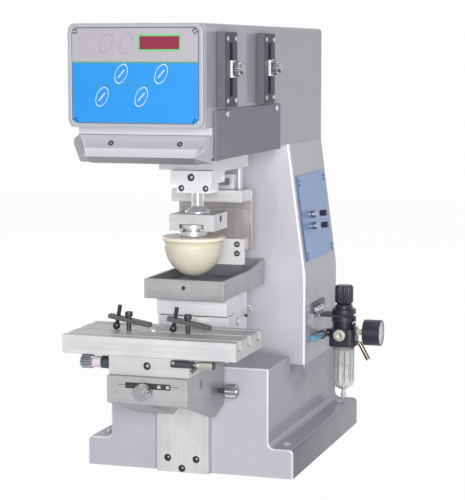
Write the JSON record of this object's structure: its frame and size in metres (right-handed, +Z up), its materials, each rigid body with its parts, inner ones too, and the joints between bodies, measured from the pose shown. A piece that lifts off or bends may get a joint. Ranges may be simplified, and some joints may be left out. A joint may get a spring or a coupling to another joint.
{
  "type": "pad printing machine",
  "caption": "Bench pad printing machine: cast base and column, overhung head with control panel, sliding pad carriage, ink tray, slotted work table on a knee, and a filter regulator.",
  "frame": {"origin": "middle of the base's underside", "axes": "+Z up, -Y towards the operator, +X to the operator's right"},
  "size_m": [0.3483, 0.554, 0.594],
  "materials": {
    "cast_silver": "satin paint",
    "painted_side": "satin paint",
    "machined_aluminium": "satin",
    "dark_anodised": "satin anodised",
    "black_anodised": "satin anodised",
    "blackened_steel": "oiled black",
    "bright_steel": "bright",
    "chrome": "polished",
    "brass": "satin",
    "silicone": "smooth",
    "panel_foil": "printed foil",
    "blue_anodised": "satin anodised",
    "black_plastic": "moulded",
    "clear_bowl": "clear moulded"
  },
  "bodies": {
    "frame": {"base_casting": "cast_silver", "column_casting": "cast_silver", "head_housing": "painted_side", "rear_cover": "painted_side", "panel_bezel": "machined_aluminium", "panel_overlay": "panel_foil", "front_guard": "machined_aluminium", "side_cover": "dark_anodised", "stroke_rail_front": "black_anodised", "stroke_rail_rear": "black_anodised", "guide_rod_left": "chrome", "guide_rod_right": "chrome", "carriage_cylinder": "machined_aluminium", "valve_bank": "black_plastic", "ink_tray": "machined_aluminium", "etched_plate": "bright_steel", "tray_support": "machined_aluminium", "guide_plate": "machined_aluminium", "valve_plate": "blue_anodised", "throttle_body_upper": "bright_steel", "throttle_body_lower": "bright_steel", "regulator_bracket": "black_anodised", "regulator_body": "black_plastic", "filter_bowl": "clear_bowl", "gauge_body": "black_plastic", "elbow_fitting": "black_plastic", "hose_barb": "brass"},
    "regulator_knob": {"regulator_knob": "black_plastic"},
    "drain_cock": {"drain_cock": "black_plastic"},
    "throttle_upper": {"throttle_knob_upper": "black_plastic"},
    "throttle_lower": {"throttle_knob_lower": "black_plastic"},
    "gauge_needle": {"gauge_needle": "black_anodised"},
    "carriage": {"carriage_plate": "machined_aluminium", "carriage_rod": "chrome", "ram_cylinder": "machined_aluminium", "ram_block": "machined_aluminium", "ram_gland": "machined_aluminium", "blade_cross_bar": "machined_aluminium"},
    "blade": {"blade_arm": "machined_aluminium", "blade_holder": "machined_aluminium", "doctor_blade": "bright_steel"},
    "ram": {"pad_rod": "chrome", "pad_holder": "machined_aluminium", "pad_base": "chrome", "silicone_pad": "silicone"},
    "knee": {"knee": "machined_aluminium"},
    "z_knob": {"z_feed_knob": "bright_steel"},
    "y_knob": {"y_feed_knob": "bright_steel"},
    "cross_slide": {"cross_slide": "machined_aluminium"},
    "x_knob": {"x_feed_knob": "bright_steel"},
    "slide_lock": {"slide_lock": "brass"},
    "table": {"work_table": "machined_aluminium", "clamp_bar_left": "blackened_steel", "clamp_bar_right": "blackened_steel", "clamp_bolt_left": "blackened_steel", "clamp_bolt_right": "blackened_steel"},
    "stop_front": {"stop_pointer_front": "bright_steel"},
    "stop_rear": {"stop_pointer_rear": "bright_steel"},
    "stop_knob_front": {"stop_knob_front": "bright_steel"},
    "stop_knob_rear": {"stop_knob_rear": "bright_steel"}
  },
  "joints": [
    {"name": "carriage_slide", "type": "slide", "parent": "frame", "child": "carriage", "axis": [0, -1, 0], "range_m": [0, 0.12]},
    {"name": "ram_slide", "type": "slide", "parent": "carriage", "child": "ram", "axis": [0, 0, -1], "range_m": [0, 0.014]},
    {"name": "blade_lift", "type": "slide", "parent": "carriage", "child": "blade", "axis": [0, 0, -1], "range_m": [0, 0.003]},
    {"name": "knee_lift", "type": "slide", "parent": "frame", "child": "knee", "axis": [0, 0, 1], "range_m": [-0.04, 0.005]},
    {"name": "cross_feed", "type": "slide", "parent": "knee", "child": "cross_slide", "axis": [0, 1, 0], "range_m": [-0.012, 0.012]},
    {"name": "table_feed", "type": "slide", "parent": "cross_slide", "child": "table", "axis": [1, 0, 0], "range_m": [-0.02, 0.02]},
    {"name": "x_knob_turn", "type": "hinge", "parent": "cross_slide", "child": "x_knob", "pos_m": [-0.0559, -0.3, 0.1665], "axis": [-1, 0, 0], "range_deg": [-3601, 3601]},
    {"name": "y_knob_turn", "type": "hinge", "parent": "knee", "child": "y_knob", "pos_m": [-0.0045, -0.3333, 0.1395], "axis": [0, -1, 0], "range_deg": [-2161, 2161]},
    {"name": "z_knob_turn", "type": "hinge", "parent": "knee", "child": "z_knob", "pos_m": [0.0513, -0.208, 0.119], "axis": [-1, 0, 0], "range_deg": [-9601, 1201]},
    {"name": "slide_lock_turn", "type": "hinge", "parent": "cross_slide", "child": "slide_lock", "pos_m": [0.03, -0.3308, 0.175], "axis": [1, 0, 0], "range_deg": [-45, 90]},
    {"name": "stop_front_slide", "type": "slide", "parent": "frame", "child": "stop_front", "axis": [0, 0, 1], "range_m": [-0.025, 0.025]},
    {"name": "stop_knob_front_turn", "type": "hinge", "parent": "stop_front", "child": "stop_knob_front", "pos_m": [0.1026, -0.3005, 0.539], "axis": [1, 0, 0], "range_deg": [0, 360]},
    {"name": "stop_rear_slide", "type": "slide", "parent": "frame", "child": "stop_rear", "axis": [0, 0, 1], "range_m": [-0.025, 0.025]},
    {"name": "stop_knob_rear_turn", "type": "hinge", "parent": "stop_rear", "child": "stop_knob_rear", "pos_m": [0.1026, -0.135, 0.539], "axis": [1, 0, 0], "range_deg": [0, 360]},
    {"name": "regulator_knob_turn", "type": "hinge", "parent": "frame", "child": "regulator_knob", "pos_m": [0.1475, 0.085, 0.1973], "axis": [0, 0, 1], "range_deg": [-360, 720]},
    {"name": "drain_cock_turn", "type": "hinge", "parent": "frame", "child": "drain_cock", "pos_m": [0.1475, 0.085, 0.0702], "axis": [0, 0, 1], "range_deg": [0, 90]},
    {"name": "throttle_upper_turn", "type": "hinge", "parent": "frame", "child": "throttle_upper", "pos_m": [0.11398, 0.072, 0.32882], "axis": [0.9914, 0, 0.1306], "range_deg": [0, 720]},
    {"name": "throttle_lower_turn", "type": "hinge", "parent": "frame", "child": "throttle_lower", "pos_m": [0.11622, 0.072, 0.31182], "axis": [0.9914, 0, 0.1306], "range_deg": [0, 720]},
    {"name": "gauge_needle_turn", "type": "hinge", "parent": "frame", "child": "gauge_needle", "pos_m": [0.1991, 0.085, 0.1562], "axis": [-1, 0, 0], "range_deg": [0, 270]}
  ],
  "couplings": [
    {"joint": "x_knob_turn", "follows": "table_feed", "rad_per_m": 3141.6},
    {"joint": "y_knob_turn", "follows": "cross_feed", "rad_per_m": 3141.6},
    {"joint": "z_knob_turn", "follows": "knee_lift", "rad_per_m": 4188.8}
  ]
}
